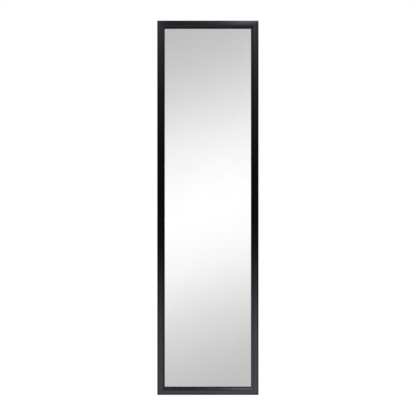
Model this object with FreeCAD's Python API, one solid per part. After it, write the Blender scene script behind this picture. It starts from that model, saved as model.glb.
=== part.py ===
"""Full-length wall mirror: a sheet of silvered glass in a mitred black moulding.

The moulding is cut at 45 degrees and nailed at its corners. Glass and backing board stand in its
rabbet, behind the sight lip, and flat steel points hold them there. Two strap hangers on the back,
each with a swinging wire ring, hang the mirror on a wall, and two bumpers keep its foot off the wall.

Axes: +X to the right seen from the front, +Y to the back, +Z up. Millimetres.
Origin: centre of the bottom rail's underside, at the middle of the moulding's depth.
"""

import FreeCAD, Part
import math
import os

from FreeCAD import Vector

# Mirror glass
GLASS_WIDTH = 304.8
GLASS_HEIGHT = 1219.2
GLASS_THICKNESS = 3.0
GLASS_ARRIS = 0.5  # flat ground along every edge
SILVER_THICKNESS = 0.1  # silver, copper and back paint together

# Moulding, in section
MOULDING_WIDTH = 25.0  # face to sight edge, seen from the front
RABBET_WIDTH = 8.5  # step behind the lip that takes glass and board
GLASS_CLEARANCE = 1.1  # each side of the glass, and twice this above it
SIGHT_LIP = 2.5  # lip in front of the glass, at the sight edge
BEVEL_WIDTH = 7.5  # slope from the face down to the sight edge
BEVEL_DROP = 4.0
OUTER_RADIUS = 6.0  # round between face and outer wall
ARRIS_RADIUS = 4.0  # soft line between face and bevel
SIGHT_RADIUS = 0.8
BACK_RADIUS = 0.8  # eased outer edge at the back

# Backing board
BOARD_THICKNESS = 3.0
BOARD_CLEARANCE = 1.5  # each side of the board, and twice this above it
BACK_RECESS = 5.0  # board's back to the moulding's back

# V-nails: angled steel strips driven into each mitre from the back
NAIL_LEG = 6.0
NAIL_THICKNESS = 0.6
NAIL_DEPTH = 10.0
NAIL_SINK = 0.4  # below the moulding's back
NAIL_EDGE = 4.5  # outer wall to the first nail
NAIL_SPACING = 5.5
NAILS_PER_CORNER = 2

# Retaining points: flat steel tabs driven into the rabbet's wall
POINT_WIDTH = 8.0
POINT_THICKNESS = 0.6
POINT_REACH = 10.0  # rabbet wall to the free end, over the board
POINT_BITE = 6.0  # rabbet wall to the tip, in the moulding
POINT_TIP = 4.0  # length of the sharpened tip
POINT_CORNER = 2.0  # cut off each corner of the free end
POINT_PITCH = 200.0  # about this far apart
POINTS_AT_LEAST = 2  # on each member

# Strap hanger: a strip folded round the ring's bar, both leaves under the screw
STRAP_WIDTH = 10.0
STRAP_THICKNESS = 1.0
STRAP_LEAF_GAP = 0.15
STRAP_RETURN_RADIUS = 2.0  # middle of the strip, where the eye comes back to the leaf
STRAP_MARGIN = 5.5  # screw to the strap's end
STRAP_END_RADIUS = 3.0
HANGER_DROP = 200.0  # top of the frame to the ring's bar

# Hanger ring: round wire bent to a triangle of equal sides
RING_WIRE = 2.0
RING_CORNER = 1.6  # bends, at the middle of the wire
RING_SIDE_PLAY = 0.3  # strap's edge to the start of each bend
RING_BAR_CLEARANCE = 0.05  # bar in the strap's eye, on the radius
RING_REST_GAP = 0.25  # ring to the moulding at rest, and to the strap when folded down

# Hanger screws
SCREW_CORE = 2.6
SCREW_HOLE = 3.6  # in the strap
SCREW_LENGTH = 12.0  # under the head
SCREW_TIP = 2.5
SCREW_HEAD = 6.4
SCREW_HEAD_HEIGHT = 1.9
SCREW_HEAD_EDGE = 0.9  # height of the head's straight edge
SCREW_HEAD_TOP = 4.6  # flat of the head, inside its sloped rim
SCREW_RECESS_ARM = 1.7  # cross recess, centre to the end of an arm
SCREW_RECESS_SLOT = 0.8
SCREW_RECESS_DEPTH = 1.2
SCREW_DROP = 11.0  # ring's bar to the screw
PILOT_CLEARANCE = 0.05  # screw core in its hole, on the radius

# Bumpers at the foot
BUMPER_DIAMETER = 12.0
BUMPER_HEIGHT = 4.5
BUMPER_BEVEL = 1.2
BUMPER_INSET = 34.0  # side of the frame to the bumper's centre

# Places that follow from those sizes
RABBET_DEPTH = GLASS_THICKNESS + SILVER_THICKNESS + BOARD_THICKNESS + BACK_RECESS
MOULDING_DEPTH = BEVEL_DROP + SIGHT_LIP + RABBET_DEPTH
LAND_WIDTH = MOULDING_WIDTH - RABBET_WIDTH  # flat back of the moulding beside the rabbet
FRAME_WIDTH = GLASS_WIDTH + 2 * (GLASS_CLEARANCE + LAND_WIDTH)
FRAME_HEIGHT = GLASS_HEIGHT + 2 * (GLASS_CLEARANCE + LAND_WIDTH)
HALF_WIDTH = FRAME_WIDTH / 2
FACE_Y = -MOULDING_DEPTH / 2
BACK_Y = MOULDING_DEPTH / 2
GLASS_Y = FACE_Y + BEVEL_DROP + SIGHT_LIP
SILVER_Y = GLASS_Y + GLASS_THICKNESS
BOARD_Y = SILVER_Y + SILVER_THICKNESS
POINT_Y = BOARD_Y + BOARD_THICKNESS
WALL_X = HALF_WIDTH - LAND_WIDTH  # rabbet wall of a stile
BOARD_WIDTH = FRAME_WIDTH - 2 * (LAND_WIDTH + BOARD_CLEARANCE)
BOARD_HEIGHT = FRAME_HEIGHT - 2 * (LAND_WIDTH + BOARD_CLEARANCE)

HANGER_X = HALF_WIDTH - LAND_WIDTH / 2
HANGER_Z = FRAME_HEIGHT - HANGER_DROP
BAR_RADIUS = RING_WIRE / 2
EYE_RADIUS = BAR_RADIUS + RING_BAR_CLEARANCE  # inside of the strap's eye
BAR_HEIGHT = STRAP_THICKNESS + EYE_RADIUS  # bar's axis above the moulding's back
STRAP_HEIGHT = 2 * STRAP_THICKNESS + STRAP_LEAF_GAP  # both leaves
STRAP_LENGTH = SCREW_DROP + STRAP_MARGIN  # bar to the strap's end
RING_HALF_BAR = STRAP_WIDTH / 2 + RING_SIDE_PLAY  # straight part of the bar
RING_HALF_SIDE = RING_HALF_BAR + RING_CORNER * math.sqrt(3)  # to the corner, had it no bend
RING_PEAK = RING_HALF_SIDE * math.sqrt(3)
RING_REACH = RING_PEAK - RING_CORNER  # bar to the top bend, at the middle of the wire
RING_OVER_STRAP = 3 * RING_CORNER - RING_WIRE  # bar to where the legs come over the strap's edges
REST_FALL = BAR_HEIGHT - BAR_RADIUS - RING_REST_GAP
FOLD_RISE = STRAP_HEIGHT + RING_REST_GAP + BAR_RADIUS - BAR_HEIGHT
RING_REST_TILT = math.degrees(math.asin(REST_FALL / RING_REACH))
RING_FOLD_TILT = math.degrees(math.asin(FOLD_RISE / RING_OVER_STRAP))
RING_SWING = 180.0 + RING_REST_TILT - RING_FOLD_TILT

X_AXIS = Vector(1, 0, 0)
Y_AXIS = Vector(0, 1, 0)
Z_AXIS = Vector(0, 0, 1)
MID_HEIGHT = Vector(0, 0, FRAME_HEIGHT / 2)
ORIGIN = Vector(0, 0, 0)


def rounded_wire(corners, place):
    """Closed outline through corners of (a, b, radius); place(a, b) gives each point in space."""
    points = [place(a, b) for a, b, _ in corners]
    edges = []
    ends = []
    for i, (_, _, radius) in enumerate(corners):
        corner = points[i]
        to_last = (points[i - 1] - corner).normalize()
        to_next = (points[(i + 1) % len(points)] - corner).normalize()
        if radius == 0:
            ends.append((corner, corner))
            continue
        half = to_last.getAngle(to_next) / 2
        start = corner + to_last * (radius / math.tan(half))
        end = corner + to_next * (radius / math.tan(half))
        inward = (to_last + to_next).normalize()
        middle = corner + inward * (radius / math.sin(half) - radius)
        edges.append(Part.Arc(start, middle, end).toShape())
        ends.append((start, end))
    for i, (_, leave) in enumerate(ends):
        arrive = ends[(i + 1) % len(ends)][0]
        edges.append(Part.LineSegment(leave, arrive).toShape())
    return Part.Wire(Part.__sortEdges__(edges))


def prism(wire, along):
    """Solid between a flat outline and its copy, moved along a vector."""
    return Part.Face(wire).extrude(along)


def box_between(low, high):
    """Box with the given lowest and highest corners."""
    size = high - low
    return Part.makeBox(size.x, size.y, size.z, low)


def in_front_view(y):
    """Places (x, z) outlines at a given depth."""
    return lambda x, z: Vector(x, y, z)


# Frame


def moulding_section(place):
    """Section of the moulding; place(u, y) takes the distance from the outer wall and the depth."""
    return rounded_wire(
        [
            (0, FACE_Y, OUTER_RADIUS),
            (MOULDING_WIDTH - BEVEL_WIDTH, FACE_Y, ARRIS_RADIUS),
            (MOULDING_WIDTH, FACE_Y + BEVEL_DROP, SIGHT_RADIUS),
            (MOULDING_WIDTH, GLASS_Y, 0),
            (LAND_WIDTH, GLASS_Y, 0),
            (LAND_WIDTH, BACK_Y, 0),
            (0, BACK_Y, BACK_RADIUS),
        ],
        place,
    )


def mitred(length, plan):
    """Flat outline of one member: outer edge of a given length, ends cut at 45 degrees."""
    half = length / 2
    corners = [
        (-half, 0, 0),
        (half, 0, 0),
        (half - MOULDING_WIDTH, MOULDING_WIDTH, 0),
        (MOULDING_WIDTH - half, MOULDING_WIDTH, 0),
    ]
    return prism(rounded_wire(corners, plan), Y_AXIS * MOULDING_DEPTH)


def bottom_rail_blank():
    """Bottom rail before it is bored and slotted."""
    bar = prism(moulding_section(lambda u, y: Vector(-HALF_WIDTH, y, u)), X_AXIS * FRAME_WIDTH)
    return bar.common(mitred(FRAME_WIDTH, lambda along, u: Vector(along, FACE_Y, u)))


def left_stile_blank():
    """Left stile before it is bored and slotted."""
    bar = prism(moulding_section(lambda u, y: Vector(u - HALF_WIDTH, y, 0)), Z_AXIS * FRAME_HEIGHT)
    plan = lambda along, u: Vector(u - HALF_WIDTH, FACE_Y, FRAME_HEIGHT / 2 + along)
    return bar.common(mitred(FRAME_HEIGHT, plan))


def member_blanks():
    """The four lengths of moulding, by name."""
    rail = bottom_rail_blank()
    stile = left_stile_blank()
    return {
        "bottom_rail": rail,
        "top_rail": rail.mirror(MID_HEIGHT, Z_AXIS),
        "left_stile": stile,
        "right_stile": stile.mirror(ORIGIN, X_AXIS),
    }


# V-nails


def v_nail(edge, back):
    """Angled strip at the lower left corner, its bend towards the corner, ending at a given depth."""
    near = edge
    far = edge + NAIL_LEG
    inner = edge + NAIL_THICKNESS
    corners = [(near, near), (far, near), (far, inner), (inner, inner), (inner, far), (near, far)]
    front = BACK_Y - NAIL_SINK - NAIL_DEPTH
    wire = rounded_wire([(x - HALF_WIDTH, z, 0) for x, z in corners], in_front_view(front))
    return prism(wire, Y_AXIS * (back - front))


def in_each_corner(solids):
    """Copies of lower left solids in all four corners, by corner."""
    right = [s.mirror(ORIGIN, X_AXIS) for s in solids]
    return {
        "lower_left": solids,
        "lower_right": right,
        "upper_left": [s.mirror(MID_HEIGHT, Z_AXIS) for s in solids],
        "upper_right": [s.mirror(MID_HEIGHT, Z_AXIS) for s in right],
    }


def v_nails(back):
    """Nails of every corner, by corner, ending at a given depth."""
    edges = [NAIL_EDGE + i * NAIL_SPACING for i in range(NAILS_PER_CORNER)]
    return in_each_corner([v_nail(edge, back) for edge in edges])


# Glass, silver and board


def mirror_glass():
    """Glass sheet on the bottom rail's rabbet wall, all its edges ground."""
    low = Vector(-GLASS_WIDTH / 2, GLASS_Y, LAND_WIDTH)
    high = Vector(GLASS_WIDTH / 2, SILVER_Y, LAND_WIDTH + GLASS_HEIGHT)
    sheet = box_between(low, high)
    return sheet.makeChamfer(GLASS_ARRIS, sheet.Edges)


def silver_layer():
    """Silver and its paint, on the flat of the glass's back."""
    low = Vector(-GLASS_WIDTH / 2 + GLASS_ARRIS, SILVER_Y, LAND_WIDTH + GLASS_ARRIS)
    high = Vector(GLASS_WIDTH / 2 - GLASS_ARRIS, BOARD_Y, LAND_WIDTH + GLASS_HEIGHT - GLASS_ARRIS)
    return box_between(low, high)


def backing_board():
    """Board that closes the back, standing on the bottom rail's rabbet wall."""
    low = Vector(-BOARD_WIDTH / 2, BOARD_Y, LAND_WIDTH)
    high = Vector(BOARD_WIDTH / 2, POINT_Y, LAND_WIDTH + BOARD_HEIGHT)
    return box_between(low, high)


# Retaining points


def retaining_point(place):
    """One tab; place(out, along) takes the distance into the moulding and along its wall."""
    half = POINT_WIDTH / 2
    side = [
        (-POINT_REACH, half - POINT_CORNER, 0),
        (POINT_CORNER - POINT_REACH, half, 0),
        (POINT_BITE - POINT_TIP, half, 0),
    ]
    tip = (POINT_BITE, 0, 0)
    other_side = [(out, -along, radius) for out, along, radius in reversed(side)]
    return prism(rounded_wire([*side, tip, *other_side], place), Y_AXIS * POINT_THICKNESS)


def spread(length):
    """Places along a side, measured from its middle, about one pitch apart."""
    count = max(POINTS_AT_LEAST, round(length / POINT_PITCH))
    step = length / count
    return [(i + 0.5) * step - length / 2 for i in range(count)]


def retaining_points():
    """Tabs of every member, by member."""
    on_rail = [
        retaining_point(lambda out, along, x=x: Vector(x + along, POINT_Y, LAND_WIDTH - out))
        for x in spread(BOARD_WIDTH)
    ]
    on_stile = [
        retaining_point(lambda out, along, z=z: MID_HEIGHT + Vector(-WALL_X - out, POINT_Y, z + along))
        for z in spread(BOARD_HEIGHT)
    ]
    return {
        "bottom_rail": on_rail,
        "top_rail": [p.mirror(MID_HEIGHT, Z_AXIS) for p in on_rail],
        "left_stile": on_stile,
        "right_stile": [p.mirror(ORIGIN, X_AXIS) for p in on_stile],
    }


# Hangers, each made at the left one's place


def hanger_point(along):
    """Point on the left stile's back, at a distance below the ring's bar."""
    return Vector(-HANGER_X, BACK_Y, HANGER_Z - along)


def bent_strip(start, heading, runs, thickness):
    """Closed side outline of a bent strip, in the XY plane.

    The middle of the strip starts at a point, heading at an angle in degrees. Each run is
    (length, 0) for a flat or (radius, turn) for a bend, where a turn to the left is positive.
    """
    left = []
    right = []
    half = thickness / 2
    here = start
    for size, turn in runs:
        ahead = Vector(math.cos(math.radians(heading)), math.sin(math.radians(heading)), 0)
        aside = Vector(-ahead.y, ahead.x, 0)
        if turn == 0:
            there = here + ahead * size
            for edges, offset in ((left, aside * half), (right, aside * -half)):
                edges.append(Part.LineSegment(here + offset, there + offset).toShape())
        else:
            side = math.copysign(1, turn)
            centre = here + aside * (size * side)
            spokes = [
                FreeCAD.Rotation(Z_AXIS, turn * share).multVec(here - centre) / size
                for share in (0, 0.5, 1)
            ]
            for edges, radius in ((left, size - side * half), (right, size + side * half)):
                edges.append(Part.Arc(*[centre + spoke * radius for spoke in spokes]).toShape())
            there = centre + spokes[-1] * size
            heading += turn
        here = there
    caps = [
        Part.LineSegment(right[0].firstVertex().Point, left[0].firstVertex().Point).toShape(),
        Part.LineSegment(left[-1].lastVertex().Point, right[-1].lastVertex().Point).toShape(),
    ]
    return Part.Wire(Part.__sortEdges__(left + right + caps))


def strap_side():
    """Side outline of the strap: x along it from the bar to its end, y out from the moulding."""
    lower_leaf = STRAP_THICKNESS / 2
    upper_leaf = STRAP_HEIGHT - STRAP_THICKNESS / 2
    eye = EYE_RADIUS + STRAP_THICKNESS / 2
    drop = (upper_leaf + STRAP_RETURN_RADIUS - BAR_HEIGHT) / (eye + STRAP_RETURN_RADIUS)
    return_turn = math.degrees(math.acos(drop))
    flat_from = (eye + STRAP_RETURN_RADIUS) * math.sin(math.radians(return_turn))
    runs = [
        (STRAP_LENGTH, 0),
        (eye, -180 - return_turn),
        (STRAP_RETURN_RADIUS, return_turn),
        (STRAP_LENGTH - flat_from, 0),
    ]
    return bent_strip(Vector(STRAP_LENGTH, lower_leaf, 0), 180, runs, STRAP_THICKNESS)


def hanger_strap():
    """Folded strap under the left ring, its end rounded and its screw hole bored."""
    half = STRAP_WIDTH / 2
    eye_top = EYE_RADIUS + STRAP_THICKNESS
    side = strap_side()
    side.Placement = FreeCAD.Placement(
        hanger_point(0) - X_AXIS * half,
        FreeCAD.Rotation(-Z_AXIS, Y_AXIS, X_AXIS, "XYZ"),
    )
    strip = prism(side, X_AXIS * STRAP_WIDTH)
    plan = rounded_wire(
        [
            (-half, -eye_top, 0),
            (half, -eye_top, 0),
            (half, STRAP_LENGTH, STRAP_END_RADIUS),
            (-half, STRAP_LENGTH, STRAP_END_RADIUS),
        ],
        lambda across, along: hanger_point(along) + X_AXIS * across,
    )
    strap = strip.common(prism(plan, Y_AXIS * (BAR_HEIGHT + eye_top)))
    return strap.cut(Part.makeCylinder(SCREW_HOLE / 2, STRAP_HEIGHT, hanger_point(SCREW_DROP), Y_AXIS))


def hanger_ring():
    """Left ring at rest: its bar in the strap's eye, its point up and leaning on the moulding."""
    corners = [
        (-RING_HALF_SIDE, 0, RING_CORNER),
        (RING_HALF_SIDE, 0, RING_CORNER),
        (0, RING_PEAK, RING_CORNER),
    ]
    path = rounded_wire(corners, in_front_view(0))
    wire_end = Part.Wire(Part.makeCircle(BAR_RADIUS, Vector(RING_HALF_BAR, 0, 0), X_AXIS))
    ring = path.makePipeShell([wire_end], True, True)
    ring.rotate(ORIGIN, X_AXIS, RING_REST_TILT)
    ring.translate(hanger_point(0) + Y_AXIS * BAR_HEIGHT)
    return ring


def hanger_screw():
    """Pan-head screw through the left strap, with a cross recess."""
    core = SCREW_CORE / 2
    head = SCREW_HEAD / 2
    outline = [
        (0, SCREW_HEAD_HEIGHT, 0),
        (0, -SCREW_LENGTH, 0),
        (core, SCREW_TIP - SCREW_LENGTH, 0),
        (core, 0, 0),
        (head, 0, 0),
        (head, SCREW_HEAD_EDGE, 0),
        (SCREW_HEAD_TOP / 2, SCREW_HEAD_HEIGHT, 0),
    ]
    face = Part.Face(rounded_wire(outline, lambda out, up: Vector(out, up, 0)))
    screw = face.revolve(ORIGIN, Y_AXIS, 360)
    arm = Vector(SCREW_RECESS_ARM, 0, SCREW_RECESS_SLOT / 2)
    floor = Y_AXIS * (SCREW_HEAD_HEIGHT - SCREW_RECESS_DEPTH)
    slot = box_between(floor - arm, floor + arm + Y_AXIS * SCREW_RECESS_DEPTH)
    screw = screw.cut([slot, slot.rotated(ORIGIN, Y_AXIS, 90)])
    screw.translate(hanger_point(SCREW_DROP) + Y_AXIS * STRAP_HEIGHT)
    return screw


def pilot_hole():
    """Hole in the left stile for the hanger's screw."""
    depth = SCREW_LENGTH - STRAP_HEIGHT
    return Part.makeCylinder(SCREW_CORE / 2 + PILOT_CLEARANCE, depth, hanger_point(SCREW_DROP), -Y_AXIS)


# Bumpers


def foot_bumper():
    """Left bumper, on the back of the bottom rail."""
    foot = Vector(BUMPER_INSET - HALF_WIDTH, BACK_Y, LAND_WIDTH / 2)
    pad = Part.makeCylinder(BUMPER_DIAMETER / 2, BUMPER_HEIGHT, foot, Y_AXIS)
    rim = [edge for edge in pad.Edges if edge.BoundBox.YMin > BACK_Y]
    return pad.makeChamfer(BUMPER_BEVEL, rim)


def both_sides(left):
    """A left solid and its mirror image, by side."""
    return {"left": left, "right": left.mirror(ORIGIN, X_AXIS)}


def nodes():
    """Every piece of the mirror: node name to its solids."""
    made = {}
    points = retaining_points()
    nail_slots = [nail for nails in v_nails(BACK_Y).values() for nail in nails]
    pilots = list(both_sides(pilot_hole()).values())
    for name, blank in member_blanks().items():
        made[name] = [blank.cut(nail_slots + pilots + points[name])]
        made[name + "_points"] = points[name]
    for corner, nails in v_nails(BACK_Y - NAIL_SINK).items():
        made[corner + "_v_nails"] = nails
    made["mirror_glass"] = [mirror_glass()]
    made["silver_layer"] = [silver_layer()]
    made["backing_board"] = [backing_board()]
    made["hanger_screws"] = list(both_sides(hanger_screw()).values())
    straps = both_sides(hanger_strap())
    rings = both_sides(hanger_ring())
    bumpers = both_sides(foot_bumper())
    for side in ("left", "right"):
        made[side + "_hanger_strap"] = [straps[side]]
        made[side + "_hanger_ring"] = [rings[side]]
        made[side + "_bumper"] = [bumpers[side]]
    return made


def main():
    """Builds every node, tells its size and writes it as STEP."""
    os.makedirs("parts", exist_ok=True)
    for name, solids in sorted(nodes().items()):
        shape = solids[0] if len(solids) == 1 else Part.makeCompound(solids)
        box = shape.BoundBox
        print(
            f"{name}: {len(shape.Solids)} solid(s), valid {shape.isValid()}, "
            f"{box.XLength:.2f} x {box.YLength:.2f} x {box.ZLength:.2f} mm, {shape.Volume:.1f} mm3"
        )
        shape.exportStep(f"parts/{name}.step")
    print(f"frame {FRAME_WIDTH:.1f} x {MOULDING_DEPTH:.2f} x {FRAME_HEIGHT:.1f} mm")
    print(f"ring bar at {hanger_point(0) + Y_AXIS * BAR_HEIGHT}, swing {RING_SWING:.2f} degrees")


main()
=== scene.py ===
"""Looks of the full-length wall mirror, built round its packed construction model.

Metres, in the model's own frame: +X to the right seen from the front, +Y to the wall, +Z up.
Geometry nodes grow the moulding, the glass, the points, the screws and the bumpers. Silver,
board, nails, straps and rings are the model's own solids in better finishes.
"""

import logging
import math
from collections.abc import Mapping, Sequence
from dataclasses import dataclass
from enum import Enum
from typing import Any

import bpy
from bpy.types import Material, Mesh, Node, NodeSocket, NodeTree, Object
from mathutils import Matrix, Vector

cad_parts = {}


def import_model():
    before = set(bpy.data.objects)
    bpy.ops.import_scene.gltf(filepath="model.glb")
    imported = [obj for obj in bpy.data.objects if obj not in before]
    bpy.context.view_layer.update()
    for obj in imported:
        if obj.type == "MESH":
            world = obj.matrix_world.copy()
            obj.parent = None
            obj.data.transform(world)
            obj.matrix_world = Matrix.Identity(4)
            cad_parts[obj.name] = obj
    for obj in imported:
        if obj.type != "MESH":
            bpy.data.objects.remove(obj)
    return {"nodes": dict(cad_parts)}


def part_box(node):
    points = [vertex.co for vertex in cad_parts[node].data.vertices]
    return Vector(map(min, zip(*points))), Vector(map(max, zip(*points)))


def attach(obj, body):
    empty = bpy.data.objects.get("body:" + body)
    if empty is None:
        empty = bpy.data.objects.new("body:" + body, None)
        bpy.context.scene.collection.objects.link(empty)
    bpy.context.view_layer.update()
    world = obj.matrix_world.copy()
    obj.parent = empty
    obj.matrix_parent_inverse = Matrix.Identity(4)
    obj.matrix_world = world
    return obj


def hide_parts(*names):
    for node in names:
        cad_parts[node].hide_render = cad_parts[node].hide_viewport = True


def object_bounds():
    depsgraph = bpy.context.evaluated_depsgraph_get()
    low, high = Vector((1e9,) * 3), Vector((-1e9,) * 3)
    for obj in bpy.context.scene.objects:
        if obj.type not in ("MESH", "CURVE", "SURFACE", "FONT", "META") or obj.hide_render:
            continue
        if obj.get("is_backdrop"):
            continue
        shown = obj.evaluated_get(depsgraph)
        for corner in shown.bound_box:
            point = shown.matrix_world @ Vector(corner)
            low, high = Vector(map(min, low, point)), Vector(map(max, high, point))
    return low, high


LOG = logging.getLogger("mirror")
MM = 0.001
WELD = 1e-6  # points nearer than this are one
CREASE = math.radians(30)  # edges sharper than this are shaded sharp
QUARTER = math.pi / 2
NOISE_SPAN = (0.3, 0.7)  # holds nearly all of a noise pattern
BODY = "mirror"

Feed = Node | NodeSocket
Spot = tuple[float, float, float]
Stops = Sequence[tuple[float, float]]


class Side(Enum):
    """Left and right, seen from the front."""

    LEFT = "left"
    RIGHT = "right"


class Member(Enum):
    """The four lengths of moulding: node name, and the turn that lays one there, in degrees."""

    BOTTOM = ("bottom_rail", 0.0)
    TOP = ("top_rail", 180.0)
    LEFT = ("left_stile", 90.0)
    RIGHT = ("right_stile", 270.0)

    @property
    def node(self) -> str:
        """Name of the member's node."""
        return self.value[0]

    @property
    def is_rail(self) -> bool:
        """Whether the member lies level."""
        return self in (Member.BOTTOM, Member.TOP)

    def turn(self, more: float = 0.0) -> Spot:
        """Gives the turn about Y from the bottom rail's place.

        Args:
            more: Degrees to add.

        Returns:
            The turn, in radians.
        """
        return 0.0, math.radians(self.value[1] + more), 0.0


class Corner(Enum):
    """The four mitres."""

    UPPER_LEFT = "upper_left"
    UPPER_RIGHT = "upper_right"
    LOWER_LEFT = "lower_left"
    LOWER_RIGHT = "lower_right"

    @property
    def nails(self) -> str:
        """Name of the node that holds this corner's nails."""
        return f"{self.value}_v_nails"


class Lamp(Enum):
    """The two soft lamps and where they hang."""

    FRONT = (1.6, -2.4, 2.6)
    BACK = (-1.4, 2.4, 2.6)


def linear(colour: str) -> tuple[float, float, float, float]:
    """Turns an sRGB hex colour to linear.

    Args:
        colour: Six hex digits after a hash sign.

    Returns:
        Red, green, blue and an alpha of one.
    """
    parts = [int(colour[i : i + 2], 16) / 255 for i in (1, 3, 5)]
    return (*[c / 12.92 if c <= 0.04045 else ((c + 0.055) / 1.055) ** 2.4 for c in parts], 1.0)


def set_stops(ramp: Node, stops: Sequence[tuple[float, Any]]) -> None:
    """Gives a colour ramp its stops.

    Args:
        ramp: Colour ramp node.
        stops: Place from 0 to 1 and linear colour, in order.
    """
    elements = ramp.color_ramp.elements
    while len(elements) < len(stops):
        elements.new(1.0)
    for element, (place, colour) in zip(elements, stops):
        element.position = place
        element.color = colour


class NodeGraph:
    """The nodes of a material, a world or a geometry tree."""

    def __init__(self, tree: NodeTree) -> None:
        """Takes over a tree and empties it.

        Args:
            tree: The node tree.
        """
        tree.nodes.clear()
        self.tree = tree

    def add(
        self,
        kind: str,
        inputs: Mapping[str | int, Any] | Sequence[Any] = (),
        to: NodeSocket | None = None,
        **settings: Any,
    ) -> Node:
        """Adds a node, sets its properties and links it.

        Args:
            kind: Blender's name for the node's type.
            inputs: What the inputs get, in order or by name or number: a value, a node or socket
                that feeds it, or a list of such feeds. A node feeds by its first output.
            to: Socket that the new node feeds by its first output.
            settings: Properties of the node.

        Returns:
            The new node.
        """
        node = self.tree.nodes.new(kind)
        for name, value in settings.items():
            setattr(node, name, value)
        for key, value in inputs.items() if isinstance(inputs, Mapping) else enumerate(inputs):
            for feed in value if isinstance(value, list) else [value]:
                source = feed.outputs[0] if isinstance(feed, Node) else feed
                if isinstance(source, NodeSocket):
                    self.tree.links.new(source, node.inputs[key])
                else:
                    node.inputs[key].default_value = source
        if to is not None:
            self.tree.links.new(node.outputs[0], to)
        return node


# Finishes


class Surface(NodeGraph):
    """The nodes of a material, round one principled shader."""

    def __init__(self, name: str, follows: str) -> None:
        """Starts the material.

        Args:
            name: Its name.
            follows: Attribute that its patterns follow, or none for the object's coordinates.
        """
        self.material = bpy.data.materials.new(name)
        self.material.use_nodes = True
        super().__init__(self.material.node_tree)
        shader = self.add("ShaderNodeBsdfPrincipled")
        self.add("ShaderNodeOutputMaterial", {"Surface": shader})
        self.shader = shader.inputs
        if follows:
            self.place = self.add("ShaderNodeAttribute", attribute_name=follows).outputs["Vector"]
        else:
            self.place = self.add("ShaderNodeTexCoord").outputs["Object"]


@dataclass(frozen=True)
class Pattern:
    """Noise of a real size: round patches, or streaks where it is drawn out along an axis."""

    sizes: Spot  # along X, Y and Z, in millimetres
    fineness: float
    turn: float = 0.0  # about Y, in degrees
    bend: float = 0.0
    crispness: float = 0.5  # what each finer layer keeps of the last

    def draw(self, surface: Surface) -> Node:
        """Adds the pattern to a material.

        Args:
            surface: The material's nodes.

        Returns:
            The node that gives the pattern.
        """
        lie = {
            "Vector": surface.place,
            "Rotation": (0.0, math.radians(self.turn), 0.0),
            "Scale": tuple(size * MM for size in self.sizes),
        }
        noise = {
            "Vector": surface.add("ShaderNodeMapping", lie, vector_type="TEXTURE"),
            "Scale": 1.0,
            "Detail": self.fineness,
            "Roughness": self.crispness,
            "Distortion": self.bend,
        }
        return surface.add("ShaderNodeTexNoise", noise)


@dataclass(frozen=True)
class Finish:
    """A surface: its real material, its two shades and how it takes the light."""

    name: str
    base: str
    other: str
    roughness: float
    metallic: float = 0.0
    follows: str = ""  # attribute that the patterns follow, if not the object's coordinates

    def material(self) -> Material:
        """Builds the node material.

        Returns:
            The material, with this finish's own detail on it.
        """
        surface = Surface(self.name, self.follows)
        surface.shader["Base Color"].default_value = linear(self.base)
        surface.shader["Roughness"].default_value = self.roughness
        surface.shader["Metallic"].default_value = self.metallic
        self.detail(surface)
        return surface.material

    def detail(self, surface: Surface) -> None:
        """Adds pattern, roughness and relief to a surface."""
        raise NotImplementedError

    def shade(self, surface: Surface, pattern: Feed, span: tuple[float, float] = NOISE_SPAN) -> None:
        """Lets the colour go from one shade to the other with a pattern.

        Args:
            surface: The material's nodes.
            pattern: What gives the pattern.
            span: The pattern's values at the two shades.
        """
        ramp = surface.add("ShaderNodeValToRGB", {"Fac": pattern}, surface.shader["Base Color"])
        set_stops(ramp, [(span[0], linear(self.base)), (span[1], linear(self.other))])

    def streak(self, surface: Surface, streaks: Pattern, swing: float) -> list[Node]:
        """Lets the roughness swing with streaks.

        Args:
            surface: The material's nodes.
            streaks: The streaks.
            swing: Change of roughness either way.

        Returns:
            Nodes that give the streaks and the roughness.
        """
        lines = streaks.draw(surface)
        span = {
            "Value": lines,
            "From Min": NOISE_SPAN[0],
            "From Max": NOISE_SPAN[1],
            "To Min": self.roughness - swing,
            "To Max": self.roughness + swing,
        }
        return [lines, surface.add("ShaderNodeMapRange", span, surface.shader["Roughness"])]


@dataclass(frozen=True)
class SatinPolystyrene(Finish):
    """Extruded polystyrene under a satin film. Sizes in millimetres.

    Its patterns follow lay, a length's own coordinates: along it, into its depth and in from its
    outer edge.
    """

    follows: str = "lay"
    sheen: str = "#eeebff"  # slightly cool
    die_lines: Pattern = Pattern((260.0, 1.6, 1.6), fineness=3.0)  # really 0.4 wide, coarser to show
    roughness_swing: float = 0.025
    peel: Pattern = Pattern((2.2, 2.2, 2.2), fineness=1.0)  # film's orange peel
    peel_depth: float = 0.012
    peel_share: float = 0.3
    film_end: float = 24.4  # from here in, the wall of the sight edge is bare and matt
    sight_edge: float = 25.0
    bare_roughness: float = 0.7

    def detail(self, surface: Surface) -> None:
        """Adds die lines along the length, the bare sight edge and the film's orange peel.

        Args:
            surface: The material's nodes.
        """
        add, shader = surface.add, surface.shader
        shader["Specular Tint"].default_value = linear(self.sheen)
        lines, film = self.streak(surface, self.die_lines, self.roughness_swing)
        self.shade(surface, lines)
        edge = {
            "Value": add("ShaderNodeSeparateXYZ", [surface.place]).outputs["Z"],
            "From Min": self.film_end * MM,
            "From Max": self.sight_edge * MM,
            "To Max": self.bare_roughness,
        }
        bare = add("ShaderNodeMapRange", edge)
        add("ShaderNodeMath", [film, bare], shader["Roughness"], operation="MAXIMUM")
        peel = self.peel.draw(surface)
        relief = {"Height": peel, "Strength": self.peel_share, "Distance": self.peel_depth * MM}
        add("ShaderNodeBump", relief, shader["Normal"])


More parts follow.
